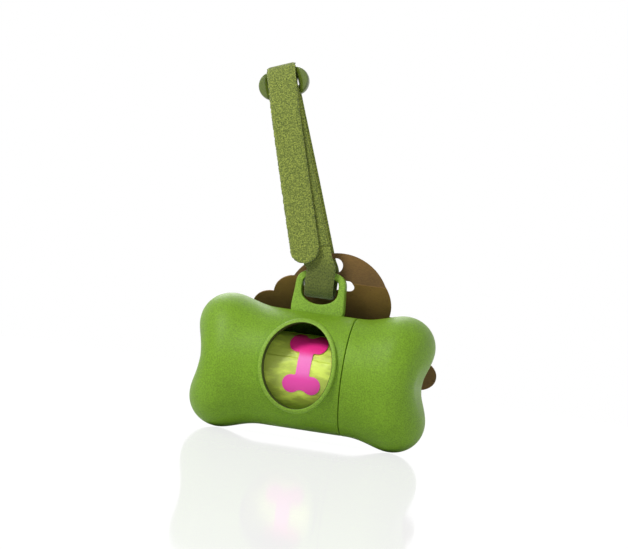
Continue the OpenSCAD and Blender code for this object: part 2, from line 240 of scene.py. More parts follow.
def bone_skin(s, side, from_x, inset, rows=56, around=160, spine=30.0):
    """Points where rays from the bone's spine meet its surface, `inset` under it: rows along the
    barrel from from_x, then rows that fan round the end and close on its pole. Halving finds where
    the field along a ray passes -inset. The outer skin's first rows draw in a little, as the
    moulding's edge is rounded."""
    edge = np.array([0.0, 0.05, 0.16, 0.3])
    draw = np.array([0.16, 0.08, 0.02, 0.0])
    edge_end, longest_ray, halvings = 1.0, 45.0, 18
    barrel = np.linspace(from_x + side * edge_end, side * spine, rows)
    along = np.concatenate([from_x + side * edge, barrel])
    fan = np.linspace(0, np.pi / 2, rows)[1:]
    lift = np.concatenate([np.zeros(len(along)), fan])[:, None]
    a = once_round(around)[None]
    start = np.concatenate([along, np.full(len(fan), side * spine)])
    across = np.cos(lift)
    ray = np.stack(np.broadcast_arrays(side * np.sin(lift), across * np.cos(a), across * np.sin(a)), -1)
    origin = np.stack([start, 0 * start, 0 * start], -1)[:, None, :]
    low, high = np.zeros(ray.shape[:2]), np.full(ray.shape[:2], longest_ray)
    for _ in range(halvings):
        mid = (low + high) / 2
        inside = bone_field(origin + ray * mid[..., None], s) < -inset
        low, high = np.where(inside, mid, low), np.where(inside, high, mid)
    pull = np.zeros(len(start))
    pull[:len(draw)] = draw * (inset == 0)
    return origin + ray * (mid - pull[:, None])[..., None]


def bone_half(name, s, side, from_x):
    """One half of the bone: an outer and an inner skin, joined by the flat edge at the seam."""
    outer = bone_skin(s, side, from_x, 0)
    inner = bone_skin(s, side, from_x, s.wall)
    rows, around = outer.shape[:2]
    pts = np.concatenate([outer[::-1].reshape(-1, 3), inner.reshape(-1, 3)])
    return outward(add_mesh(name, pts, grid_faces(2 * rows, around)), 50)


def oval_face(s, z, curve, proud):
    """Depth (y) of the rim's gently curved face at height z."""
    return -s.barrel_r - proud + curve - np.sqrt(curve ** 2 - z ** 2)


def window_rim(s):
    """The rim: a rounded bead carried round the oval, its face on a cylinder of radius rim_curve,
    its inner wall lining the opening and its outer wall sunk into the barrel."""
    bead, lining, sunk, short = 0.6, 2.5, 0.9, 0.2
    a = once_round(192)
    turn = np.radians(np.arange(0, 91, 15))
    rise, fall = bead - bead * np.cos(turn), bead - bead * np.sin(turn)
    across = np.concatenate([[0.0, 0.0], rise, s.rim_w - fall, [s.rim_w]])
    drop = np.concatenate([[lining, lining], fall, rise, [lining]])
    half_w, half_h = s.window_w, s.window_h
    n = np.stack([np.cos(a) / half_w, np.sin(a) / half_h], -1)
    n /= np.linalg.norm(n, axis=1)[:, None]
    x = s.window_x + half_w * np.cos(a) + across[:, None] * n[:, 0]
    z = s.window_z + half_h * np.sin(a) + across[:, None] * n[:, 1]
    y = oval_face(s, z, s.rim_curve, s.rim_proud) + drop[:, None]
    barrel = -np.sqrt(np.maximum(s.barrel_r ** 2 - z ** 2, 0))
    y[0] = barrel[0] + s.wall
    y[1] = np.minimum(y[1], barrel[1] + s.wall - short)
    y[-1] = barrel[-1] + sunk
    return skin("window_rim", np.stack([x, y, z], -1), 40)


def superellipse(a, half_w, half_h, n):
    """Distance from the middle to |x/half_w|^n + |z/half_h|^n = 1 along the angle a."""
    return (np.abs(np.cos(a) / half_w) ** n + np.abs(np.sin(a) / half_h) ** n) ** (-1 / n)


def plate_ring(name, r_in, r_out, half_t, edge, place, steps=144):
    """A flat ring with rounded edges: its profile runs from the hole's wall to the outer wall and
    back, and r_in(a), r_out(a) give the hole and the outline. place turns (u, y, v) into X, Y, Z."""
    a = once_round(steps)
    turn = np.radians(np.linspace(0, 90, 6))
    corner = np.stack([edge - edge * np.cos(turn), edge - edge * np.sin(turn)], -1)
    front = np.concatenate([corner * (1, -1), corner[::-1] * (-1, -1)]) + (0, half_t)
    at_hole = np.repeat([True, False], len(turn))
    inset = np.concatenate([front[:, 0], front[::-1, 0]])
    depth = np.concatenate([-front[:, 1], front[::-1, 1]])
    at_hole = np.concatenate([at_hole, at_hole[::-1]])[:, None]
    r = np.where(at_hole, r_in(a)[None], r_out(a)[None]) + inset[:, None]
    u, v = r * np.cos(a), r * np.sin(a)
    return skin(name, place(u, np.broadcast_to(depth[:, None], u.shape), v), 50)


# Webbing

def lean_angle(t, k):
    """The strap's lean grows smoothly from nothing to its full angle just above the lug's bar."""
    from_t, over = 0.7, 4.0
    return k.lean * ease(t, from_t, from_t + over)


def strap_point(t, y, w, k, free=False):
    """A point of the strap's own frame: t up the leg, y through it, w across it. A free end keeps
    the full lean."""
    off_middle = 0.2
    a = k.lean + 0 * t if free else lean_angle(t, k)
    x = k.lug_x - off_middle - t * np.sin(a) + w * np.cos(a)
    return np.stack([x, y, k.bar_z + t * np.cos(a) + w * np.sin(a)], -1)


def resample(route, gap=0.5):
    """A route's points, rounded by averaging and set `gap` apart along it."""
    route = np.asarray(route, float)
    for _ in range(2):
        at = distance_along(route)
        want = np.linspace(0, at[-1], max(int(at[-1] / gap), 4))
        route = np.stack([np.interp(want, at, route[:, i]) for i in (0, 1)], -1)
        soft = route.copy()
        soft[2:-2] = (route[:-4] + 2 * route[1:-3] + 2 * route[2:-2] + 2 * route[3:-1] + route[4:]) / 8
        route = soft
    return route


def band(name, route, low, high, k, width=None, rag=0.0, tip=False, free=False, seed=1):
    """A flat band with rounded edges along a route of [t, y]: each cross-section is a rounded
    rectangle from `low` to `high` off the route. rag roughens its edges, tip rounds its last end
    and free turns it about the fold as the tail.
    Its UV map is the distance across and along, in metres."""
    face_points, flatness, edge_share, ragged_from = 15, 12, 0.12, 0.9
    ring = 2 * face_points
    route = resample(route)
    d = np.gradient(route, axis=0)
    d /= np.linalg.norm(d, axis=1)[:, None]
    normal = np.stack([-d[:, 1], d[:, 0]], -1)
    along = distance_along(route)
    half = np.full(len(route), (width or k.width) / 2)
    if tip:
        left = along[-1] - along
        r = half[0]
        half = np.where(left < r, np.sqrt(np.maximum(r * r - (r - left) ** 2, 0.02)), half)
    rng = np.random.default_rng(seed)
    w = np.concatenate([np.linspace(-1, 1, face_points), np.linspace(1, -1, face_points)])
    side = np.repeat([1.0, -1.0], face_points)
    round_off = np.sqrt(np.maximum(1 - np.abs(w) ** flatness, 0)) * 0.5
    off = (low + high) / 2 + (high - low) * side * np.maximum(round_off, edge_share)
    torn = rag * (rng.random((len(route), ring)) - 0.5) * (np.abs(w) > ragged_from)
    across = half[:, None] * w + torn
    t = route[:, None, 0] + normal[:, None, 0] * off
    y = route[:, None, 1] + normal[:, None, 1] * off
    fold_t = k.leg + (k.ring_h - k.ring_bar) / 2 - k.fold
    skew = np.tan(k.skew) if free else 0.0
    pts = strap_point(t, y, across - (fold_t - t) * skew, k, free)
    last = (len(route) - 1) * ring
    ends = [tuple(range(ring))[::-1], tuple(range(last, last + ring))]
    obj = add_mesh(name, pts.reshape(-1, 3), grid_faces(len(route), ring).tolist() + ends)
    uv = obj.data.uv_layers.new(name="weave")
    index = np.empty(len(obj.data.loops), int)
    obj.data.loops.foreach_get("vertex_index", index)
    flat = np.stack([across, np.broadcast_to(along[:, None], across.shape)], -1).reshape(-1, 2) * MM
    uv.data.foreach_set("uv", flat[index].ravel())
    return outward(obj, 60), along[-1]


def leg_route(k):
    """The strap's named places, and how far its two legs run from the loop's middle plane: side by
    side up to parallel_t, then smoothly in to the buckle's lower bar."""
    bar_play, lug_play, lap_play, parallel_t = 0.15, 3.7, 0.3, 30
    gap = k.ring_h - k.ring_bar
    low, high = k.leg - gap / 2, k.leg + gap / 2
    turn_r = np.hypot(k.ring_bar, k.ring_bar) / 2 + bar_play + k.thick / 2
    leg_y = lug_play + k.thick / 2
    front_top = turn_r + k.thick + lap_play

    def leg_at(t, top):
        """Distance of a leg at height t, if it ends at `top`."""
        return leg_y + (top - leg_y) * ease(t, parallel_t, low)
    return low, high, turn_r, leg_y, front_top, leg_at


# Shader expressions

def arithmetic(operation, swapped=False):
    """A method of Wire that adds the named Math node, with its two values swapped if asked."""
    def method(self, other):
        first, second = (other, self) if swapped else (self, other)
        return self.math(operation, first, second)
    return method


class Wire:
    """One socket of a material's nodes. Arithmetic on it adds Math nodes, so a pattern reads as a
    formula, and `node` adds any other node."""

    def __init__(self, tree, socket=None):
        self.tree, self.socket = tree, socket

    def node(self, kind, settings=None, out=0, **inputs):
        """Adds a node: its settings first, then values or wires for its inputs, by name or _number."""
        n = self.tree.nodes.new("ShaderNode" + kind)
        for key, value in (settings or {}).items():
            setattr(n, key, value)
        for key, value in inputs.items():
            sock = n.inputs[int(key[1:])] if key[0] == "_" else n.inputs[key.replace("__", " ")]
            if isinstance(value, Wire):
                self.tree.links.new(value.socket, sock)
            else:
                sock.default_value = value
        return Wire(self.tree, n.outputs[out])

    def math(self, operation, a, b=0.0):
        """A Math node on one or two values or wires."""
        return self.node("Math", {"operation": operation}, _0=a, _1=b)

    __add__ = arithmetic("ADD")
    __radd__ = arithmetic("ADD", swapped=True)
    __sub__ = arithmetic("SUBTRACT")
    __rsub__ = arithmetic("SUBTRACT", swapped=True)
    __mul__ = arithmetic("MULTIPLY")
    __rmul__ = arithmetic("MULTIPLY", swapped=True)
    __truediv__ = arithmetic("DIVIDE")
    __pow__ = arithmetic("POWER")

    def step(self, low, high):
        """0 below low, 1 above high and smooth between."""
        return self.node("MapRange", {"interpolation_type": "SMOOTHSTEP"}, _0=self, _1=low, _2=high)

    def sine(self):
        """The sine of this wire, in radians."""
        return self.math("SINE", self)

    def root(self):
        """The square root of this wire."""
        return self.math("SQRT", self)

    def magnitude(self):
        """This wire without its sign."""
        return self.math("ABSOLUTE", self)

    def part(self, index):
        """X, Y or Z of a vector wire."""
        return self.node("SeparateXYZ", out=index, _0=self)

    def noise(self, scale, detail=3.0, rough=0.5):
        """Noise from 0 to 1 over this vector, `scale` lumps to the metre."""
        return self.node("TexNoise", Vector=self, Scale=scale, Detail=detail, Roughness=rough)

    def blend(self, first, second):
        """Mixes two colours by this mask."""
        return self.node("Mix", {"data_type": "RGBA"}, out=2, _0=self, _6=first, _7=second)


def finish_material(name, build, roughness=0.5, **steady):
    """A material whose `build` gets a Wire of Object coordinates and returns (colour, roughness,
    height, bump distance in metres); `steady` sets the shader's own sockets."""
    mat = bpy.data.materials.new(name)
    mat.use_nodes = True
    tree = mat.node_tree
    shader = tree.nodes["Principled BSDF"]
    for key, value in steady.items():
        shader.inputs[key.replace("__", " ")].default_value = value
    shader.inputs["Roughness"].default_value = roughness
    place = Wire(tree).node("TexCoord", out=3)
    base, rough, height, depth = build(place)
    if isinstance(base, Wire):
        tree.links.new(base.socket, shader.inputs["Base Color"])
    else:
        shader.inputs["Base Color"].default_value = base
    if rough is not None:
        tree.links.new(rough.socket, shader.inputs["Roughness"])
    if height is not None:
        bump = place.node("Bump", Height=height, Distance=depth, Strength=1.0)
        tree.links.new(bump.socket, shader.inputs["Normal"])
    return mat


def shade(c, k):
    """A linear colour made lighter or darker."""
    return tuple(min(1.0, v * k) for v in c[:3]) + (1.0,)


def moulded(name, tone, painted_shade=None):
    """Matt moulded green: a fine grain in colour, roughness and surface, and faint flow clouds.
    painted_shade(p) gives where painted shade darkens the moulding in a recess, from 0 to 1."""
    c = linear(tone)

    def build(p):
        grain = p.noise(2100.0, 3.0, 0.7)
        cloud = p.noise(70.0, 3.0)
        speck = (grain * 0.85 + cloud * 0.15).step(0.38, 0.62)
        base = speck.blend(shade(c, 0.78), shade(c, 1.2))
        if painted_shade:
            # painted shade: the recess is darkened almost to black
            base = painted_shade(p).blend(base, shade(c, 0.12))
        return base, grain * 0.2 + 0.36, grain, 0.00009
    return finish_material(name, build, Specular__IOR__Level=0.28)


def film(tone, axis_z):
    """Bag film: yellow-green with paler stretched folds and a soft sheen, and fine layers about the
    roll's axis, which show at its ends."""
    c = linear(tone)

    def build(p):
        crease = p.node("Mapping", Vector=p, Scale=(0.35, 1.0, 1.0)).noise(260.0, 5.0, 0.62)
        fine = p.noise(1500.0, 2.0)
        height = crease * 0.8 + fine * 0.12
        pale = crease.step(0.44, 0.66)
        radius = (p.part(1) ** 2.0 + (p.part(2) - axis_z * MM) ** 2.0).root()
        layers = (radius * 16000.0).sine() * 0.06
        return pale.blend(shade(c, 0.78), shade(c, 1.2)), fine * 0.2 + 0.24, height + layers, 0.0004
    return finish_material("bag_film", build, Specular__IOR__Level=0.55)


def label_print(tone):
    """Printed pink label with a slight paper grain, and painted light on it: painted shade deepens it
    towards its top and a painted highlight pales its waist.
    """
    c = linear(tone)

    def build(p):
        grain = p.noise(1800.0, 3.0)
        z = p.part(2)
        # waist: painted highlight across the middle; top: painted shade, a deeper pink towards the top
        waist = 1.0 - (z - 0.002).magnitude().step(0.0025, 0.0055)
        top = z.step(0.004, 0.0075)
        low = waist.blend(shade(c, 0.92), linear((0.98, 0.46, 0.80)))
        return top.blend(low, linear((1.0, 0.17, 0.60))), grain * 0.1 + 0.38, grain, 0.00005
    return finish_material("label_print", build)


def woven(name, tone, pale, nap, lug_shade=0.0):
    """Strap webbing: ribs across and a herringbone of yarns along its UV map, under a nap whose
    fibres break up the colour. nap is 0 for bare weave and 1 for a fleece face; lug_shade is the
    strength of painted shade that darkens the loop where it runs in the lug's eye."""
    dark, light = linear(tone), linear(pale)

    def build(p):
        uv = p.node("UVMap", {"uv_map": "weave"})
        u, v = uv.part(0), uv.part(1)
        rib = (v * 5200.0 + (u * 4200.0).sine() * 1.3).sine() * 0.5 + 0.5
        yarn = (u * 7600.0).sine() * 0.5 + 0.5
        fibre = uv.noise(1900.0, 4.0, 0.8)
        clump = uv.noise(720.0, 3.0, 0.6)
        weave = rib * (0.3 * (1 - nap)) + yarn * (0.12 * (1 - nap))
        height = weave + fibre * (0.45 + 0.4 * nap) + clump * (0.2 + 0.3 * nap)
        mask = (fibre * 0.8 + clump * 0.2 + weave * 0.3).step(0.42, 0.64)
        # painted shade: the loop darkens towards the lug, where it runs in the eye
        lug_shade_mask = (1.0 - p.part(2).step(0.034, 0.050)) * lug_shade
        napped = mask.blend(shade(dark, 0.55), shade(light, 1.2))
        return lug_shade_mask.blend(napped, shade(dark, 0.3)), None, height, 0.00035
    return finish_material(name, build, roughness=0.92, Sheen__Weight=0.35, Sheen__Roughness=0.5)


def buckle_plastic(tone):
    """Glossier moulded green with fine scuffs."""
    c = linear(tone)

    def build(p):
        scuff = p.noise(1400.0, 4.0, 0.7)
        return scuff.step(0.35, 0.7).blend(shade(c, 0.9), shade(c, 1.1)), scuff * 0.22 + 0.2, scuff, 0.00003
    return finish_material("buckle_plastic", build, Coat__Weight=0.25, Coat__Roughness=0.2)


def pressed_paper(name, tone, painted_light=None):
    """Uncoated brown card or board: long fibres, flecks and a soft mottle. painted_light(z) gives how
    much painted light lifts the card at a height, from 0 to 1; where it is 0 the card keeps painted shade."""
    c = linear(tone)

    def build(p):
        fibre = p.node("Mapping", Vector=p, Scale=(1.0, 4.0, 4.0)).noise(900.0, 5.0, 0.7)
        mottle = p.noise(120.0, 3.0)
        fleck = p.noise(2300.0, 2.0).step(0.66, 0.74)
        grain = (fibre * 0.6 + mottle * 0.4).step(0.36, 0.62)
        # with painted_light, painted light and shade give three quarters of the lightness and the grain the
        # rest
        lift = painted_light(p.part(2)) * 0.75 + grain * 0.25 if painted_light else grain * 0.5 + 0.2
        board = lift.blend(shade(c, 0.5), shade(c, 1.6))
        return fleck.blend(board, shade(c, 0.45)), fibre * 0.12 + 0.78, fibre, 0.00009
    return finish_material(name, build)


def card_painted_light(z):
    """Painted light and shade on the card: it pales towards its top, and again on the board just below the
    crease, and is painted darker just above the crease and towards its bottom.
    """
    crease, blur = 0.0332, 0.0002
    above = z.step(crease - blur, crease + blur)
    return above * (z.step(crease + blur, 0.048) * 0.65) + (1.0 - above) * (z.step(0.020, 0.033) * 0.8 + 0.2)


def rubber():
    """Black seal rubber with a pale bloom in patches."""
    black, bloomed = (0.012, 0.013, 0.012, 1), (0.03, 0.031, 0.03, 1)

    def build(p):
        bloom = p.noise(600.0, 3.0)
        return bloom.step(0.3, 0.7).blend(black, bloomed), bloom * 0.2 + 0.55, bloom, 0.00004
    return finish_material("seal_rubber", build)


def material(name, make, *args):
    """The named material, made once."""
    return bpy.data.materials.get(name) or make(*args)


def dress(obj, mat, body=None, stands_for=None):
    """Gives a piece its material and body, and hides the CAD part that it stands for."""
    obj.data.materials.clear()
    obj.data.materials.append(mat)
    if body:
        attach(obj, body)
    if stands_for:
        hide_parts(stands_for)
    return obj


# Operators

class Build:
    """What the operators share: registered settings and undo."""
    bl_options = {"REGISTER", "UNDO"}


def settings():
    """The sizes of the bone, the sizes of the strap and the colours."""
    scene = bpy.context.scene
    return scene.bagholder_bone, scene.bagholder_strap, scene.bagholder_finish


class BAGHOLDER_OT_stage(Build, bpy.types.Operator):
    """White floor and surround, soft lamps and the camera"""
    bl_idname = "bagholder.stage"
    bl_label = "Stage"

    def execute(self, context):
        z, far = -24.3, 4000
        corners = [[-far, -far, z], [far, -far, z], [far, far, z], [-far, far, z]]
        floor = add_mesh("floor", corners, [(0, 1, 2, 3)], False)
        floor.data.materials.append(floor_finish())
        white_world(0.32)
        aim = Vector((0, 0, 0.03))
        lamp("key", (-0.55, -0.75, 0.75), aim, 0.32, 8.6, (1, 0.99, 0.95))
        lamp("fill", (0.5, -0.9, 0.1), aim, 0.8, 1.4, (1, 1, 1))
        lamp("edge", (0.8, 0.15, 0.15), aim, 0.4, 0.35, (0.9, 1.0, 0.98))
        lamp("back", (-0.3, 0.8, 0.6), aim, 0.6, 3.0, (1, 1, 1))
        picture_camera()
        return {"FINISHED"}


def white_world(level):
    """A white world: strength 1 where the camera and reflections see it, `level` as light."""
    world = bpy.data.worlds.new("studio")
    bpy.context.scene.world = world
    world.use_nodes = True
    tree = world.node_tree
    back = tree.nodes["Background"]
    back.inputs[0].default_value = (1, 1, 1, 1)
    w = Wire(tree)
    camera, glossy, through = (w.node("LightPath", out=index) for index in (0, 3, 6))
    seen = w.math("MAXIMUM", camera, w.math("MAXIMUM", glossy, through))
    strength = seen * (1 - level) + level
    tree.links.new(strength.socket, back.inputs[1])


def floor_finish():
    """White floor: mostly the white of the surround to the camera, with a faint polish."""
    mat = bpy.data.materials.new("floor")
    mat.use_nodes = True
    tree = mat.node_tree
    shader = tree.nodes["Principled BSDF"]
    shader.inputs["Base Color"].default_value = (0.94, 0.94, 0.94, 1)
    shader.inputs["Roughness"].default_value = 0.06
    w = Wire(tree)
    glow = w.node("Emission", Color=(1, 1, 1, 1), Strength=1.06)
    share = w.node("LightPath", out=0) * 0.72
    mix = w.node("MixShader", _0=share, _1=Wire(tree, shader.outputs[0]), _2=glow)
    tree.links.new(mix.socket, tree.nodes["Material Output"].inputs[0])
    return mat


def lamp(name, place, aim, width, power, tint):
    """A round area lamp at `place`, turned to shine at `aim`."""
    data = bpy.data.lights.new(name, "AREA")
    data.shape, data.size, data.energy, data.color = "DISK", width, power, tint
    obj = bpy.data.objects.new(name, data)
    obj.location = place
    obj.rotation_euler = (aim - Vector(place)).to_track_quat("-Z", "Y").to_euler()
    bpy.context.scene.collection.objects.link(obj)


def picture_camera():
    """The photograph's camera: it stands `distance` from the bone's middle at the fitted azimuth,
    is rolled so that the bone leans clockwise, and looks up so that the middle falls at its pixel.
    Its focal length in pixels is the pixels to a millimetre there times the distance."""
    azimuth, roll = np.radians(9.5), np.radians(8.3)
    distance, pixels_per_mm = 604.0, 2.805
    middle_u, middle_v = 312.0, 371.7
    wide, high = 628, 549
    sensor = 36.0
    focal = pixels_per_mm * distance
    back = np.array([np.sin(azimuth), -np.cos(azimuth), 0.0])
    right = np.array([np.cos(azimuth), np.sin(azimuth), 0.0])
    up = np.cross(back, right)
    side = right * np.cos(roll) + up * np.sin(roll)
    top = -right * np.sin(roll) + up * np.cos(roll)
    look = -back * focal + side * (wide / 2 - middle_u) + top * (middle_v - high / 2)
    look /= np.linalg.norm(look)
    side = np.cross(look, top)
    side /= np.linalg.norm(side)
    top = np.cross(side, look)
    data = bpy.data.cameras.new("camera")
    data.sensor_width = sensor
    data.lens = focal / wide * sensor
    data.clip_end = 20.0
    obj = bpy.data.objects.new("camera", data)
    axes = Matrix(np.stack([side, top, -look], 1).tolist())
    obj.matrix_world = Matrix.Translation(Vector(back * distance * MM)) @ axes.to_4x4()
    bpy.context.scene.collection.objects.link(obj)
    bpy.context.scene.camera = obj


class BAGHOLDER_OT_body(Build, bpy.types.Operator):
    """The closed bone half with its window, rim, lug, neck and spigot"""
    bl_idname = "bagholder.body"
    bl_label = "Body"

    def execute(self, context):
        s, k, f = settings()
        green, trim = moulded("moulded_green", f.body), moulded("moulded_trim", f.trim)

        def inner_wall_shade(p):
            """Painted shade on the rim's inner wall: 1 within an oval a little wider than the opening, and 0
            on the rim's face.
            """
            margin = 0.25
            x = (p.part(0) - s.window_x * MM) / ((s.window_w + margin) * MM)
            z = (p.part(2) - s.window_z * MM) / ((s.window_h + margin) * MM)
            return 1.0 - (x ** 2.0 + z ** 2.0).step(0.985, 1.0)
        shell = bone_half("shell_body", s, -1, s.seam_x)
        cut_window(shell, s)
        dress(shell, green, "root", "main_shell")
        # the rim's inner wall is darkened with painted shade
        dress(window_rim(s), moulded("rim_green", f.trim, inner_wall_shade), "root")
        dress(strap_lug(k), trim, "root")
        dress(threaded_neck(s), green, "root")
        dress(roll_spigot(s, k), green, "root")
        return {"FINISHED"}


def roll_spigot(s, k):
    """The spigot: a rod from inside the closed end to a little way into the core, its rim bevelled."""
    start, end = -s.barrel_half + 1, k.roll_end - k.roll_len + 6
    axis, r, bevel = 0.01, k.spigot_r, 0.5
    return lathe("roll_spigot", [[start, axis], [start, r], [end - bevel, r], [end, r - bevel], [end, axis]])


def cut_window(shell, s):
    """Cuts the oval opening with a prism a little wider than the rim's inner wall."""
    margin, front, rear, count = 0.9, -40.0, -5.0, 160
    a = once_round(count)
    x = s.window_x + (s.window_w + margin) * np.cos(a)
    z = s.window_z + (s.window_h + margin) * np.sin(a)
    pts = np.concatenate([np.stack([x, np.full(count, y), z], -1) for y in (front, rear)])
    faces = grid_faces(2, count).tolist() + [range(count), range(count, 2 * count)]
    cutter = outward(add_mesh("cutter", pts, faces, False))
    mod = shell.modifiers.new("window", "BOOLEAN")
    mod.object, mod.operation, mod.solver = cutter, "DIFFERENCE", "EXACT"
    bpy.context.view_layer.update()
    cut = bpy.data.meshes.new_from_object(shell.evaluated_get(bpy.context.evaluated_depsgraph_get()))
    shell.modifiers.clear()
    shell.data = cut
    bpy.data.objects.remove(cutter)
    cut.polygons.foreach_set("use_smooth", np.ones(len(cut.polygons), bool))
    cut.set_sharp_from_angle(angle=np.radians(40))


def strap_lug(k):
    """The lug: a rounded plate whose outline narrows upwards, with an eye that is half oval below
    and nearly square above."""
    half_w, foot_spread, foot_depth, edge = 9.05, 0.9, 9.1, 0.45
    square_eye, oval_eye, round_top, square_foot = 5, 2.1, 3.4, 9
    flat_top = 0.1

    def hole(a):
        """The eye: a superellipse above its middle and another below."""
        above = superellipse(a, k.eye_w / 2, k.eye_h + flat_top, square_eye)
        below = superellipse(a, k.eye_w / 2, k.eye_h, oval_eye)
        return np.where(np.sin(a) >= 0, above, below)

    def outline(a):
        """The plate: rounded above the eye's middle, and widening to a square foot below."""
        above = superellipse(a, half_w, k.lug_top - k.eye_z, round_top)
        below = superellipse(a, half_w + foot_spread * np.clip(-np.sin(a), 0, 1), foot_depth, square_foot)
        return np.where(np.sin(a) >= 0, above, below)

    def place(u, y, v):
        """The plate stands across the bone, about the eye's middle."""
        return np.stack([k.lug_x + u, y, k.eye_z + v], -1)
    return plate_ring("strap_lug", hole, outline, k.lug_t / 2, edge, place)


def threaded_neck(s):
    """The neck: a tube whose outer face has a two-start helical groove, cut inwards from its radius
    as a triangle and deepening from the seam."""
    depth, lead, starts, steepness, fit = 0.7, 6.0, 2, 5, 0.002
    root, run_in_from, run_in = 3.1, 0.8, 1.0
    x = np.linspace(s.seam_x - root, s.seam_x + s.neck_len, 90)
    a = once_round(160)
    past = x[:, None] - s.seam_x
    turn = (past * starts / lead - a * starts / (2 * np.pi)) % 1.0
    cut = np.clip(1 - np.abs(turn - 0.5) * steepness, 0, 1) * np.clip((past - run_in_from) / run_in, 0, 1)
    outer = s.neck_r - fit - depth * cut
    r = np.concatenate([outer, np.full((2, len(a)), s.neck_bore)])
    rows_x = np.concatenate([x, [x[-1], x[0]]])[:, None]
    return skin("threaded_neck", np.stack(np.broadcast_arrays(rows_x, r * np.cos(a), r * np.sin(a)), -1), 40)


class BAGHOLDER_OT_cap(Build, bpy.types.Operator):
    """The screw cap that is the other end of the bone, and the seal inside it"""
    bl_idname = "bagholder.cap"
    bl_label = "Cap"

    def execute(self, context):
        s, _, f = settings()
        green = material("moulded_green", moulded, "moulded_green", f.body)
        dress(bone_half("cap_body", s, 1, s.seam_x + s.seam_gap), green, "cap", "end_cap")
        seal_room, ledge_w, ledge_out = 1.8, 1.4, 19.6
        near = s.seam_x + s.neck_len + seal_room
        far = near + ledge_w
        profile = [[near, s.neck_bore], [near, ledge_out], [far, ledge_out], [far, s.neck_bore]]
        dress(lathe("cap_ledge", profile), green, "cap")
        dress(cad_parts["cap_seal"], rubber())
        return {"FINISHED"}


class BAGHOLDER_OT_roll(Build, bpy.types.Operator):
    """The roll of bags with its lapped film, its core and its label"""
    bl_idname = "bagholder.roll"
    bl_label = "Roll"

    def execute(self, context):
        _, k, f = settings()
        dress(film_roll(k), film(f.film, k.roll_z), "roll", "bag_roll")
        dress(roll_label(k), label_print(f.label), "roll", "seal_sticker")
        dress(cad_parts["roll_core"], pressed_paper("core_board", f.paper))
        return {"FINISHED"}


def film_roll(k):
    """The wound film: a cylinder whose outer layer ends in a lap along the bone, with slack folds
    made of crossed waves, and ends that step down layer by layer to the core."""
    lap, lap_drift, lap_drop, slack, sunk = np.radians(157), 0.0009, 0.34, 0.04, 0.07
    steps, end_inset, end_wave, first_step = 14, 0.25, 0.18, 0.3
    a = once_round(300)
    x = np.linspace(k.roll_end - k.roll_len, k.roll_end, 150)[:, None]
    past = (a - lap - lap_drift * x) % (2 * np.pi)
    fold = (np.sin(x * 0.55 + 3 * a) * np.sin(7 * a + x * 0.21)
            + 0.6 * np.sin(x * 1.3 - 5 * a + 1.0) * np.sin(13 * a))
    r = k.roll_r - sunk - lap_drop * (past / (2 * np.pi)) ** 6 + slack * fold
    inner = np.linspace(k.roll_r - first_step, k.core_r, steps)[:, None] + 0 * a
    wave = end_wave * np.sin(np.arange(steps) * 2.4)[:, None]
    closed_end, cap_end = (x[0] + end_inset + wave)[::-1], x[-1] - end_inset - wave
    rows_x = np.concatenate([closed_end, x, cap_end]) + 0 * a
    rows_r = np.concatenate([inner[::-1], r, inner])
    return skin("film_roll", np.stack([rows_x, rows_r * np.cos(a), rows_r * np.sin(a) + k.roll_z], -1), 60)


def label_outline():
    """The label's outline as [x, z] points: a quarter of waist, lobe and notch, mirrored round, set
    evenly and softened at its corners by averaging each point with its neighbours."""
    half_h, lobe_r, lobe_x, waist, notch, count = 10.4, 3.2, 3.55, 2.4, 1.2, 240
    start = -np.pi + np.arccos((lobe_x - waist) / lobe_r)
    a = np.linspace(start, np.radians(140), 40)
    lobe = np.stack([lobe_x + lobe_r * np.cos(a), half_h - lobe_r + lobe_r * np.sin(a)], -1)
    quarter = np.concatenate([[[waist, 0]], lobe, [[0, half_h - notch]]])
    back = quarter[::-1]
    turns = [quarter, back * (-1, 1), quarter * (-1, -1), back * (1, -1)]
    loop = np.concatenate([t[:-1] for t in turns] + [[[waist, 0]]])
    at = distance_along(loop)
    want = np.linspace(0, at[-1], count, endpoint=False)
    even = np.stack([np.interp(want, at, loop[:, i]) for i in (0, 1)], -1)
    return sum(np.roll(even, shift, axis=0) for shift in range(-2, 3)) / 5


def roll_label(k):
    """The label: its outline cut into strips along the bone and given a second face, then both laid
    on the roll as y = -sqrt(r^2 - z^2), the front just over the film and the back inside it."""
    mid_x, mid_z, strip, half_h, proud, sunk = -0.7, 2.2, 0.5, 10, 0.14, 0.25
    face = bmesh.new()
    face.faces.new([face.verts.new((mid_x + x, 0, mid_z + z)) for x, z in label_outline()])
    for z in np.arange(-half_h, half_h + strip / 2, strip):
        parts = face.verts[:] + face.edges[:] + face.faces[:]
        bmesh.ops.bisect_plane(face, geom=parts, plane_co=(0, 0, mid_z + z), plane_no=(0, 0, 1))
    under = bmesh.ops.extrude_face_region(face, geom=face.faces[:], use_keep_orig=True)["geom"]
    under = [v for v in under if isinstance(v, bmesh.types.BMVert)]
    bmesh.ops.translate(face, verts=under, vec=(0, 1, 0))
    mesh = bpy.data.meshes.new("roll_label")
    face.to_mesh(mesh)
    face.free()
    co = np.empty(3 * len(mesh.vertices))
    mesh.vertices.foreach_get("co", co)
    x, y, z = co.reshape(-1, 3).T
    r = np.where(y > 0.5, k.roll_r - sunk, k.roll_r + proud)
    y = -np.sqrt(np.maximum(r ** 2 - (z - k.roll_z) ** 2, 0))
    mesh.vertices.foreach_set("co", (np.stack([x, y, z], -1) * MM).ravel())
    return outward(place_mesh("roll_label", mesh), 50)


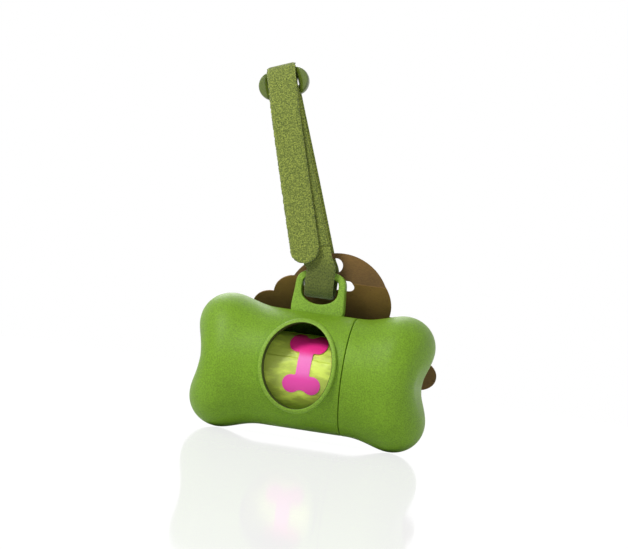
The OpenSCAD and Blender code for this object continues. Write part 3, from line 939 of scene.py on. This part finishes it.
class BAGHOLDER_OT_strap(Build, bpy.types.Operator):
    """The webbing loop, its peeling tail and the hook and pile tapes"""
    bl_idname = "bagholder.strap"
    bl_label = "Strap"

    def execute(self, context):
        _, k, f = settings()
        low, high, turn_r, leg_y, front_top, leg_at = leg_route(k)
        fold_out, tape_lap, step, half = 1.1, 1.4, 2.5, k.thick / 2
        hinge_t, hinge_y = high - k.fold, turn_r + fold_out

        def arc(t, degrees):
            """The turn over a bar of the buckle at height t: 0 degrees is behind it, 180 before it."""
            a = np.radians(degrees)
            return np.stack([t + turn_r * np.sin(a), turn_r * np.cos(a)], -1).tolist()
        rear = [[t, leg_at(t, turn_r)] for t in np.arange(low, 1 - k.drop, -step)]
        bar = [[-k.drop - leg_y * np.sin(a), leg_y * np.cos(a)] for a in np.linspace(0, np.pi, 25)]
        front = [[t, -leg_at(t, front_top)] for t in np.arange(1 - k.drop, low, step)]
        cross = [[low + 3.1, -turn_r - 0.1], [low + 5, 0.2], [low + 6.2, turn_r - 0.5]]
        route = arc(low, range(180, 19, -10)) + rear + bar + front + cross + arc(high, range(0, 96, 8))
        loop, length = band("webbing_loop", route, -half, half, k, rag=0.05, seed=3)
        # the bare loop gets painted shade where it runs in the lug's eye
        dress(loop, woven("webbing_bare", f.web, f.nap, 0.25, 0.75), "strap", "strap_band")

        def tail_at(t):
            """How far the tail hangs before the middle: over the front leg and its two tapes, then
            out to the fold."""
            from_t = low - 8
            u = np.clip((t - from_t) / (hinge_t - from_t), 0, 1)
            return (leg_at(t, front_top) + k.thick + tape_lap) * (1 - u) + hinge_y * u
        tip = hinge_t - k.tail
        hang = [[t, -tail_at(t)] for t in np.linspace(hinge_t - 1, tip, 60)]
        tail, tail_len = band("strap_tail_end", arc(high, range(84, 170, 8)) + hang, -half, half, k,
                              rag=0.28, tip=True, free=True, seed=5)
        dress(tail, woven("webbing_nap", f.web, f.nap, 0.85), None, "strap_tail")
        start = strap_point(high + turn_r, 0.0, 0.0, k) * MM
        end = strap_point(hinge_t - 3, -hinge_y, 0.0, k) * MM
        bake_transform(tail)

        first, hook_len, pile_len, sewn_in = tip + k.width / 2, 26, 44, 0.02
        under, over, narrow = -half - k.nap_t, -half + sewn_in, k.width - 0.8
        hook_route = [[t, -tail_at(t)] for t in np.linspace(first + hook_len, first, 14)]
        hook, _ = band("hook_tape", hook_route, under, over, k, width=narrow, rag=0.1, free=True, seed=7)
        dress(hook, woven("hook_face", f.web, f.web, 0.5), "tail", "hook_patch")
        pile_route = [[t, -leg_at(t, front_top)] for t in np.linspace(first, first + pile_len, 22)]
        pile, _ = band("pile_tape", pile_route, under, over, k, width=narrow, rag=0.2, seed=9)
        dress(pile, woven("pile_face", f.web, f.nap, 1.0), "strap", "pile_patch")
        return {"FINISHED"}


class BAGHOLDER_OT_buckle(Build, bpy.types.Operator):
    """The plastic ring at the strap's top"""
    bl_idname = "bagholder.buckle"
    bl_label = "Buckle"

    def execute(self, context):
        _, k, f = settings()
        dress(buckle_ring(k), buckle_plastic(f.ring), "strap", "buckle_ring")
        return {"FINISHED"}


def buckle_ring(k):
    """The ring: flat above and below, with half-round ends, a nearly square hole for the strap, and
    ears beside the strap that swell front to back."""
    shift, r, edge = (k.ring_w - k.ring_h) / 2, k.ring_h / 2, 0.85
    play, squareness, ear_from, ear_over, swell = 0.2, 8, 0.3, 1.4, 0.75

    def outline(a):
        """The flat bars' height where a ray meets them, and else the circle of an end."""
        flat = r / np.maximum(np.abs(np.sin(a)), 1e-6)
        end = shift * np.abs(np.cos(a)) + np.sqrt(r * r - (shift * np.sin(a)) ** 2)
        return np.where(np.abs(flat * np.cos(a)) <= shift, flat, end)

    def hole(a):
        """The opening between the bars."""
        return superellipse(a, (k.width + play) / 2, (k.ring_h - 2 * k.ring_bar) / 2, squareness)

    def place(u, y, v):
        """The ring stands in the strap's frame, at the leg's top."""
        begin = k.width / 2 + ear_from
        return strap_point(k.leg + v, y * (1 + swell * ease(np.abs(u), begin, begin + ear_over)), u, k)
    return plate_ring("buckle_ring_moulded", hole, outline, k.ring_bar / 2, edge, place)


class BAGHOLDER_OT_card(Build, bpy.types.Operator):
    """The brown die-cut card behind the bone"""
    bl_idname = "bagholder.card"
    bl_label = "Card"

    def execute(self, context):
        _, _, f = settings()
        dress(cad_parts["hang_card"], pressed_paper("kraft_card", f.kraft, card_painted_light))
        return {"FINISHED"}


OPERATORS = (BAGHOLDER_OT_stage, BAGHOLDER_OT_body, BAGHOLDER_OT_cap, BAGHOLDER_OT_roll,
             BAGHOLDER_OT_strap, BAGHOLDER_OT_buckle, BAGHOLDER_OT_card)
GROUPS = (BAGHOLDER_PG_bone, BAGHOLDER_PG_strap, BAGHOLDER_PG_finish)


class BAGHOLDER_PT_panel(bpy.types.Panel):
    """Lists the sizes, the colours and the pieces to build"""
    bl_idname = "BAGHOLDER_PT_panel"
    bl_label = "Bag Holder"
    bl_space_type = "VIEW_3D"
    bl_region_type = "UI"
    bl_category = "Bag Holder"

    def draw(self, context):
        scene = context.scene
        for group in (scene.bagholder_bone, scene.bagholder_strap, scene.bagholder_finish):
            column = self.layout.box().column()
            for name in group.__annotations__:
                column.prop(group, name)
        for op in OPERATORS:
            self.layout.operator(op.bl_idname)


def register():
    for cls in GROUPS + OPERATORS + (BAGHOLDER_PT_panel,):
        bpy.utils.register_class(cls)
    scene = bpy.types.Scene
    scene.bagholder_bone = PointerProperty(type=BAGHOLDER_PG_bone)
    scene.bagholder_strap = PointerProperty(type=BAGHOLDER_PG_strap)
    scene.bagholder_finish = PointerProperty(type=BAGHOLDER_PG_finish)


def unregister():
    scene = bpy.types.Scene
    del scene.bagholder_bone, scene.bagholder_strap, scene.bagholder_finish
    for cls in reversed(GROUPS + OPERATORS + (BAGHOLDER_PT_panel,)):
        bpy.utils.unregister_class(cls)


def main():
    """Registers the add-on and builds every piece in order."""
    register()
    bpy.context.scene.view_settings.view_transform = "Standard"
    build = bpy.ops.bagholder
    for make in (build.stage, build.body, build.cap, build.roll, build.strap, build.buckle, build.card):
        make()
    bpy.context.view_layer.update()


if __name__ == "__main__":
    main()
